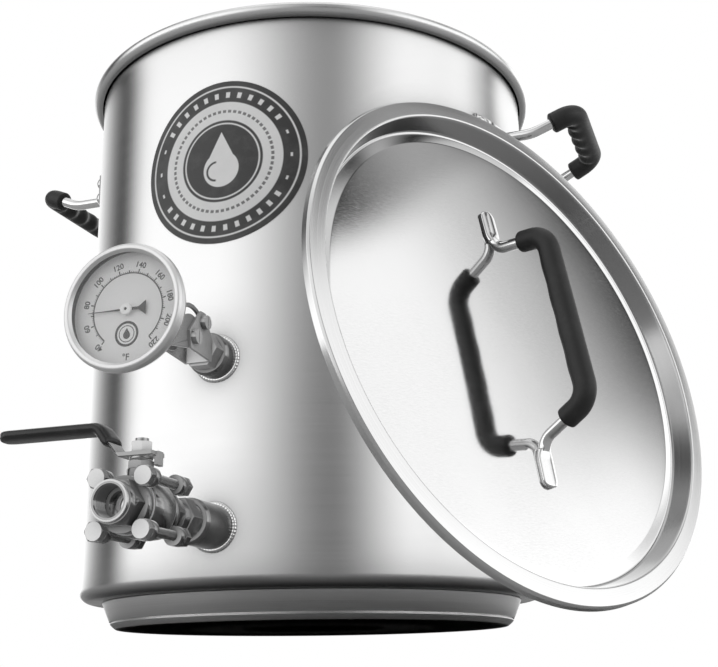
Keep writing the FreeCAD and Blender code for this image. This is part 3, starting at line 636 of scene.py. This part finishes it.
def bumped_section(plain, bumps, radius, swell, toward):
    """Grip section: rounded ends, and finger swells on one side beyond a plain length at each end."""
    def section(s, length, angle):
        grown = radius * end_round(s, length, 2.6)
        middle = (s - plain) / (length - 2 * plain)
        lift = 0.0
        if 0 < middle < 1:
            facing = max(0.0, math.cos(angle - toward)) ** 1.5
            fade = min(1.0, 12 * middle, 12 * (1 - middle))
            lift = swell * facing * fade * (0.5 - 0.5 * math.cos(2 * math.pi * bumps * middle))
        return (grown + lift) * math.cos(angle), (grown + lift) * math.sin(angle)
    return section


def make_side_handles():
    for name, side in (("right", 1), ("left", -1)):
        path = handle_path(side)
        rod = rounded(path, [26.0, 13.0, 13.0, 26.0], 12)
        verts, faces = sweep_mesh(rod, round_section(ROD_R), 2.0, 24, side=(side, 0, 0.3))
        piece(f"side_rod_{name}", verts, faces, POLISHED, "kettle",
              [f"handle_rod_{name}"])
        start = path[1] + (path[2] - path[1]) * 0.42
        end = start * (1, -1, 1)
        centre = rounded([start, path[2], path[3], end], [13.0, 13.0], 14)
        section = bumped_section(21.0, 5, GRIP_R, 2.7, math.pi)
        verts, faces = sweep_mesh(centre, section, 0.9, 40, side=(side * 0.91, 0, 0.41))
        piece(f"side_grip_{name}", verts, faces, GRIP, "kettle",
              [f"handle_grip_{name}"], sharp=50)
        finish_cad(f"handle_feet_{name}", POLISHED, 0.5)
        finish_cad(f"handle_rivets_{name}", POLISHED)


# ---- valve ----
def make_valve():
    for node in ("valve_front_cap", "valve_rear_cap", "valve_body", "valve_gland_nut"):
        finish_cad(node, VALVE_STEEL, 0.55)
    finish_cad("valve_nipple", VALVE_STEEL, 0.4)
    for node in ("valve_bolts", "lever_nut"):
        finish_cad(node, FASTENER, 0.35)
    finish_cad("valve_nuts", VALVE_STEEL, 0.35)
    for node in ("valve_spring_washers", "lever_washer"):
        finish_cad(node, FASTENER, 0.15)
    finish_cad("valve_ball", POLISHED)
    finish_cad("valve_stem", FASTENER, 0.3)
    for node in ("valve_seats", "valve_body_gaskets", "valve_stem_packing"):
        finish_cad(node, SEAT)
    finish_cad("lever", VALVE_STEEL, 0.4)
    inner, outer, back, mouth = 10.7, 11.85, MOUTH - 2.4, MOUTH + 0.03
    lip = rounded([(inner, back), (outer, back), (outer, mouth), (inner, mouth)],
                  [0.1, 0.1, 0.4, 0.3], 4)
    lathe("outlet_lip", lip, FASTENER, "kettle", place=front(VALVE_Z))
    make_outlet_thread()
    make_lever_sleeve()


def make_outlet_thread():
    """The female thread inside the valve's mouth."""
    turns, steps, pitch = 6, 48, 1.814
    root, crest, half_thread = 9.62, 8.95, 0.75
    verts, faces = [], []
    for i in range(turns * steps + 1):
        a = 2 * math.pi * i / steps
        s = MOUTH - 1.2 - pitch * i / steps
        for r, shift in ((root, -half_thread), (crest, 0.0), (root, half_thread)):
            verts.append((r * math.cos(a), r * math.sin(a), s + shift))
    for i in range(turns * steps):
        for k in range(2):
            a = i * 3 + k
            faces.append((a, a + 1, a + 4, a + 3))
    piece("outlet_thread", verts, faces, VALVE_STEEL, "kettle",
          place=front(VALVE_Z), sharp=25)


def make_lever_sleeve():
    """Dipped sleeve: a flat rounded section along the crank of the lever."""
    end = sleeve_low.x + 0.4
    flat = sleeve_high.z - 3.4
    path = rounded([(-18.7, -STEM_S, flat - 10.4), (-26.5, -STEM_S, flat), (end, -STEM_S, flat)],
                   [7.0], 10)

    def section(s, length, angle):
        grow = end_round(s, length, 3.0)
        tip = end_round(s, length, 9.0) if s > length / 2 else 1.0
        c, d = math.cos(angle), math.sin(angle)
        wide = 9.0 * tip * math.copysign(abs(c) ** 0.62, c)
        return wide, 3.5 * grow * math.copysign(abs(d) ** 0.8, d)

    verts, faces = sweep_mesh(path, section, 0.8, 40, side=(0, 1, 0))
    piece("lever_sleeve_visual", verts, faces, VINYL, "valve_lever",
          ["lever_sleeve"], sharp=60)


# ---- thermometer ----
def make_thermometer():
    finish_cad("thermometer_bracket", FASTENER, 0.35)
    finish_cad("head_yoke", COUPLER_STEEL, 0.35)
    finish_cad("head_neck", FASTENER)
    finish_cad("thermometer_probe", POLISHED)
    finish_cad("pivot_screws", FASTENER, 0.3)
    finish_cad("lens_gasket", VINYL)
    finish_cad("pointer_shaft", FASTENER)
    finish_cad("dial_lens", GLASS)
    place = front(DIAL_Z)
    f = DIAL_FRONT
    bezel = rounded([(37.65, f - 7.0), (38.3, f - 7.0), (38.7, f - 5.6), (38.6, f - 2.0), (37.3, f),
                     (34.9, f - 0.15), (33.4, f - 2.0), (33.4, f - 2.02), (37.65, f - 2.05),
                     (37.65, f - 7.0)], [0.4, 0.6, 1.2, 1.6, 1.0, 0, 0, 0], 6)[:-1]
    lathe("bezel_visual", bezel, BEZEL_STEEL, "thermometer_head", ["dial_bezel"],
          place, 160)
    back = f - 13.0
    case = rounded([(1.4, back), (33.0, back), (36.8, back + 2.2), (37.6, back + 6), (37.6, f - 4.0),
                    (35.6, f - 4.0), (35.6, back + 4), (1.4, back + 4)],
                   [2.0, 2.5, 1.0, 0.2, 0.2, 0.3], 6)
    lathe("case_visual", case, POLISHED, "thermometer_head", ["dial_case"], place,
          160)
    # Painted shade: a black sheet just inside the case wall, between face and bezel, stands for the
    # shaded inner wall of the recessed dial.
    shade_sheet = [(35.55, back + 4.6), (35.55, f - 2.1), (35.3, f - 2.1), (35.3, back + 4.6)]
    lathe("case_lining", shade_sheet, BLACK_PAINT, "thermometer_head", place=place)
    make_face(place, back + 4.0)
    make_pointer(place, back)


def dial_angle(value):
    """Clockwise angle from the top for a temperature on the 40 to 220 scale."""
    return math.radians((value - 130) / 90 * 140)


def arc_strip(inner, outer, start, end, height, steps):
    """A flat strip along an arc, angles clockwise from the top."""
    verts, faces = [], []
    for i in range(steps + 1):
        a = start + (end - start) * i / steps
        for r in (inner, outer):
            verts.append((r * math.sin(a), r * math.cos(a), height))
    for i in range(steps):
        faces.append((2 * i, 2 * i + 1, 2 * i + 3, 2 * i + 2))
    return verts, faces


def make_face(place, low):
    """The plate, its scale, a plain drop in a ring, and the numbers."""
    top = low + 0.6
    plate = [(1.4, low), (35.3, low), (35.3, top), (1.4, top)]
    lathe("face_plate", plate, FACE_PAINT, "thermometer_head", ["dial_face"], place)
    ink = top + 0.05
    marks = [arc_strip(22.2, 22.95, dial_angle(40), dial_angle(220), ink, 90)]
    for i in range(91):
        value = 40 + 2 * i
        reach = 25.2 if value % 20 == 0 else 24.4 if value % 10 == 0 else 23.7
        half = 0.016 if value % 10 == 0 else 0.008
        a = dial_angle(value)
        marks.append(arc_strip(22.7, reach, a - half, a + half, ink, 1))
    for inner, outer in ((6.2, 7.7), (4.6, 5.1)):
        ring_verts, ring_quads = arc_strip(inner, outer, 0, 2 * math.pi, ink, 60)
        marks.append(([(x, y - 14.5, z) for x, y, z in ring_verts], ring_quads))
    drop = [(2.3 * math.cos(a), 2.3 * math.sin(a) - 15.3, ink)
            for a in np.linspace(math.radians(150), math.radians(390), 24)] + [(0.0, -10.9, ink)]
    marks.append((drop, [tuple(range(len(drop)))]))
    verts, faces = merged(*marks)
    piece("dial_marks", verts, faces, PRINT, "thermometer_head", place=place)
    for value in range(40, 221, 20):
        a = dial_angle(value)
        at = (27.8 * math.sin(a), 27.6 * math.cos(a))
        label(f"dial_number_{value}", str(value), 4.8, at, -a, ink, place)
    label("dial_unit", "°F", 5.4, (0.0, -28.6), 0.0, ink, place)


def label(name, text, size, at, turn, height, place):
    """Plain printed characters on the dial, as a thin mesh."""
    curve = bpy.data.curves.new(name, "FONT")
    curve.body = text
    curve.size = size * MM
    curve.align_x = "CENTER"
    curve.align_y = "CENTER"
    curve.offset = 0.00012
    made = add_object(name, curve)
    spot = Matrix.Translation((at[0] * MM, at[1] * MM, height * MM))
    made.matrix_world = place @ spot @ Matrix.Rotation(turn, 4, "Z")
    bpy.context.view_layer.update()
    data = bpy.data.meshes.new_from_object(made)
    printed = bpy.data.objects.new(name, data)
    world = made.matrix_world.copy()
    bpy.data.objects.remove(made)
    bpy.context.scene.collection.objects.link(printed)
    printed.matrix_world = world
    data.materials.clear()
    data.materials.append(PRINT)
    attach(printed, "thermometer_head")


def make_pointer(place, back):
    """A fine needle with an arrow tail, its raised hub and the hub's pin."""
    z = back + 5.8
    edge = [(-25.5, 0.10), (-9.0, 0.42), (0, 0.75), (8.0, 0.85), (12.6, 4.3)]
    outline = edge + [(x, -y) for x, y in reversed(edge)]
    count = len(outline)
    verts = [(x, y, z) for x, y in outline] + [(x, y, z + 0.4) for x, y in outline]
    faces = [tuple(range(count))[::-1], tuple(range(count, 2 * count))]
    faces += [(i, (i + 1) % count, count + (i + 1) % count, count + i) for i in range(count)]
    piece("needle", verts, faces, BLACK_PAINT, "dial_pointer", ["pointer"], place)
    hub = rounded([(0, z + 0.4), (3.7, z + 0.4), (3.7, z + 1.7), (1.0, z + 1.8), (0.95, z + 1.3),
                   (0, z + 1.3)], [0.1, 0.5, 0.2, 0.1], 4)
    lathe("needle_hub", hub, WHITE_PAINT, "dial_pointer", ["pointer_hub"], place,
          64)
    pin = [(0, z + 1.2), (0.85, z + 1.2), (0.85, z + 1.5), (0, z + 1.6)]
    lathe("needle_pin", pin, BLACK_PAINT, "dial_pointer", place=place, turns=32)


# ---- lid ----
LID_SHEET = 1.0
DOME_TOP, DOME_EDGE, DOME_R = -3.5, -6.5, 157.0
dome_chord = DOME_R / 2
DOME_SPHERE = dome_chord / math.tan(math.atan2(DOME_TOP - DOME_EDGE, dome_chord) / 2)


def dome_height(r):
    return DOME_TOP - DOME_SPHERE + math.sqrt(DOME_SPHERE ** 2 - r ** 2)


def make_lid():
    """A shallow dome, a groove and a raised flange, as one sheet."""
    dome = [(r, dome_height(r)) for r in np.linspace(0, DOME_R, 40)]
    step = rounded([dome[-1], (158.0, DOME_EDGE - 0.05), (167.5, -8.8), (171.0, 7.2), (182.6, 6.2),
                    (LID_R - 0.1, 4.4), (LID_R, 0.0)], [6.0, 2.2, 1.6, 0.9, 0.8], 8)
    upper = [np.array(p) for p in dome[:-1]] + step
    lower = []
    for i, point in enumerate(upper):
        before, after = upper[max(i - 1, 0)], upper[min(i + 1, len(upper) - 1)]
        run = (after - before) / np.linalg.norm(after - before)
        lower.append(point + np.array((run[1], -run[0])) * LID_SHEET)
    lower[0] = np.array((0.0, DOME_TOP - LID_SHEET))
    lower[-1] = np.array((LID_R - LID_SHEET - 0.1, 0.0))
    lathe("lid_visual", upper + lower[::-1], LID_STEEL, "lid", ["lid_panel"], LID, 360)
    make_lid_handle()


def make_lid_handle():
    """Bent rod with pressed feet, and its soft grip."""
    heel = dome_height(80)
    bend = [(104.0, dome_height(101) + 1.6), (80.0, heel + 1.9), (72.0, heel + 3.4), (60.0, 41.0)]
    path = [(0, y, z) for y, z in bend] + [(0, -y, z) for y, z in reversed(bend)]
    centre = rounded(path, [30.0, 12.0, 15.0, 15.0, 12.0, 30.0], 12)

    def rod(s, length, angle):
        near = min(s, length - s)
        flat = 1 - min(1.0, max(0.0, (near - 19.0) / 14.0))
        flat = flat * flat * (3 - 2 * flat)
        tip = end_round(s, length, 5.5)
        wide = (4.0 + 2.8 * flat) * tip
        thick = (4.0 - 2.3 * flat) * (0.35 + 0.65 * end_round(s, length, 1.6))
        return wide * math.cos(angle), thick * math.sin(angle)

    verts, faces = sweep_mesh(centre, rod, 0.8, 32, side=(1, 0, 0))
    piece("lid_rod", verts, faces, POLISHED, "lid", ["lid_handle"], LID, sharp=60)
    corner, leg = np.array(path[3], float), np.array(path[2], float)
    start = corner + (leg - corner) * 0.52
    end = start * (1, -1, 1)
    soft = rounded([start, corner, corner * (1, -1, 1), end], [15.0, 15.0], 12)
    section = bumped_section(30.0, 4, 7.5, 0.5, -math.pi / 2)
    verts, faces = sweep_mesh(soft, section, 1.0, 40, side=(1, 0, 0))
    piece("lid_grip_visual", verts, faces, GRIP, "lid", ["lid_grip"], LID,
          sharp=50)


def lid_steel():
    """One sheet: softly polished dome with light scratches, satin turned flange."""
    g = Graph("lid_steel")
    g.coords = g.add("ShaderNodeAttribute", {"attribute_name": "own_place"}).outputs["Vector"]
    around = g.round_coords()
    _, radius, _ = g.split(around)
    outer = g.ramp(radius, 0.164, 0.168)
    turned = g.noise(g.scaled(around, (5.0, 2600.0, 2600.0)), 1.0, 4.0)
    scratch = g.noise(g.scaled(g.coords, (260.0, 1900.0, 1900.0)), 1.0, 5.0, 0.6)
    haze = g.noise(g.coords, 9.0, 3.0)
    brush = g.mix(outer, scratch, turned)
    tone = g.mix(g.ramp(haze, 0.3, 0.7), grey(0.66), grey(0.74))
    color = g.mix(g.ramp(brush, 0.3, 0.75), tone, grey(0.76))
    # Painted shade: the colour is darkened to 0.40 on the groove's outer wall, down between dome and
    # flange.
    groove = g.math("MULTIPLY", g.ramp(radius, 0.1664, 0.1676),
                    g.ramp(radius, 0.1704, 0.1714, 1.0, 0.0))
    color = g.mix(groove, color, grey(0.40))
    base = g.mix(outer, grey(0.075), grey(0.20))
    wobble = g.math("ADD", g.ramp(brush, 0.25, 0.75, -0.05, 0.05),
                    g.ramp(haze, 0.3, 0.7, -0.02, 0.03))
    roughness = g.math("ADD", wobble, base)
    return g.finish(color, roughness, g.bump(brush, 0.05, 0.0001), Metallic=1.0)


LID_STEEL = lid_steel()


# ---- studio ----
def make_floor():
    """A pale floor that hides nothing from below; mirrored in the steel it is a darker grey."""
    data = bpy.data.meshes.new("floor")
    reach_m, level_m = 6.0, -0.0006
    corners = [(x * reach_m, y * reach_m, level_m) for x, y in ((-1, -1), (1, -1), (1, 1), (-1, 1))]
    data.from_pydata(corners, [], [(0, 1, 2, 3)])
    floor = add_object("floor", data)
    g = Graph("floor")
    soft = g.noise(g.coords, 3.0, 4.0)
    pale = g.mix(g.ramp(soft, 0.3, 0.7), grey(0.80), grey(0.83))
    seen = g.add("ShaderNodeLightPath").outputs["Is Camera Ray"]
    color = g.mix(seen, grey(0.42), pale)
    shader = g.add("ShaderNodeBsdfDiffuse", Color=color)
    clear = g.add("ShaderNodeBsdfTransparent")
    back = g.add("ShaderNodeNewGeometry").outputs["Backfacing"]
    both = g.add("ShaderNodeMixShader", i0=back, i1=shader.outputs[0], i2=clear.outputs[0])
    out = g.add("ShaderNodeOutputMaterial")
    g.tree.links.new(both.outputs[0], out.inputs[0])
    data.materials.append(g.material)


# The soft light round the pot is strongest low down. Each step says between which sines of the
# elevation the level changes, and by how much.
LOW_LIGHT = 1.60
LIGHT_STEPS = [(0.10, 0.22, -0.15), (0.26, 0.44, -0.20), (0.65, 0.68, -0.45), (0.88, 0.97, 0.35)]
# Dark screens with soft edges: middle and reach to both sides in degrees from -Y towards +X, the share
# of the light each one takes low down and high up, and the sines between which that changes.
SCREENS = [
    (-94, 50, 22, 0.94, 0.98, 0.10, 0.40),
    (30, 60, 42, 0.94, 0.68, 0.10, 0.45),
    (124, 14, 26, 0.05, 0.50, 0.34, 0.46),
    (131, 10, 9, 0.40, 0.95, 0.20, 0.40),
    (108, 18, 14, 0.0, 0.92, 0.63, 0.67),
]
SCREEN_TOPS = (0.80, 0.95)


def make_world():
    """A white studio with soft light and a few dark screens standing round the pot."""
    world = bpy.data.worlds.new("studio")
    bpy.context.scene.world = world
    world.use_nodes = True
    tree = world.node_tree
    tree.nodes.clear()

    def add(kind, **settings):
        node = tree.nodes.new(kind)
        for key, value in settings.items():
            setattr(node, key, value)
        return node

    def fill(node, first, values):
        for index, value in enumerate(values, first):
            if isinstance(value, bpy.types.NodeSocket):
                tree.links.new(value, node.inputs[index])
            else:
                node.inputs[index].default_value = value
        return node.outputs[0]

    def calc(operation, a, b=0.0):
        return fill(add("ShaderNodeMath", operation=operation), 0, (a, b))

    def eased(value, start, end, before, after):
        step = add("ShaderNodeMapRange", interpolation_type="SMOOTHSTEP")
        return fill(step, 0, (value, start, end, before, after))

    split = add("ShaderNodeSeparateXYZ")
    tree.links.new(add("ShaderNodeTexCoord").outputs["Generated"], split.inputs[0])
    x, y, z = split.outputs
    degrees = calc("MULTIPLY", calc("ARCTAN2", x, calc("MULTIPLY", y, -1.0)), 180 / math.pi)
    level = LOW_LIGHT
    for start, end, change in LIGHT_STEPS:
        level = calc("ADD", level, eased(z, start, end, 0.0, change))
    reach_up = eased(z, *SCREEN_TOPS, 1.0, 0.0)
    for middle, left, right, low, high, start, end in SCREENS:
        shade = calc("MINIMUM", eased(degrees, middle - left, middle, 0.0, 1.0),
                     eased(degrees, middle, middle + right, 1.0, 0.0))
        shade = calc("MULTIPLY", calc("MULTIPLY", shade, eased(z, start, end, low, high)), reach_up)
        level = calc("MULTIPLY", level, calc("SUBTRACT", 1.0, shade))
    lit = add("ShaderNodeBackground")
    lit.inputs[0].default_value = (1.0, 1.0, 1.0, 1.0)
    tree.links.new(level, lit.inputs[1])
    seen = add("ShaderNodeBackground")
    seen.inputs[0].default_value = (1.0, 1.0, 1.0, 1.0)
    path = add("ShaderNodeLightPath")
    both = add("ShaderNodeMixShader")
    tree.links.new(path.outputs["Is Camera Ray"], both.inputs[0])
    tree.links.new(lit.outputs[0], both.inputs[1])
    tree.links.new(seen.outputs[0], both.inputs[2])
    tree.links.new(both.outputs[0], add("ShaderNodeOutputWorld").inputs[0])
    bpy.context.scene.view_settings.view_transform = "Standard"


def make_camera():
    """Low and close in front of the valve's corner, tilted up."""
    data = bpy.data.cameras.new("camera")
    data.sensor_width = 36.0
    data.lens = 59.31
    data.clip_start = 0.02
    camera = add_object("camera", data)
    eye = Vector((0.3416, -0.8673, -0.0380))
    heading, pitch, roll = math.radians(19.174), math.radians(16.33), math.radians(0.705)
    forward = Vector((-math.sin(heading) * math.cos(pitch), math.cos(heading) * math.cos(pitch),
                      math.sin(pitch)))
    right = Vector((math.cos(heading), math.sin(heading), 0))
    up = right.cross(forward)
    side = right * math.cos(roll) - up * math.sin(roll)
    top = up * math.cos(roll) + right * math.sin(roll)
    turn = Matrix((side, top, -forward)).transposed().to_4x4()
    camera.matrix_world = Matrix.Translation(eye) @ turn
    bpy.context.scene.camera = camera


def keep_off_wall():
    """The brushed wall would draw the fittings and the lid out into tall dark streaks."""
    near = ("valve", "lever", "outlet", "coupler", "thermometer", "head", "pivot", "dial", "bezel",
            "case", "face", "lens", "pointer", "needle", "lid_visual", "side", "handle")
    for name, shown in (*frame["nodes"].items(), *bpy.data.objects.items()):
        if name.startswith(near):
            shown.visible_glossy = False


make_pot()
make_base()
finish_cad("base_core", ALUMINIUM)
make_couplers()
make_welds()
make_badge()
make_side_handles()
make_valve()
make_thermometer()
make_lid()
keep_off_wall()
make_floor()
make_world()
make_camera()
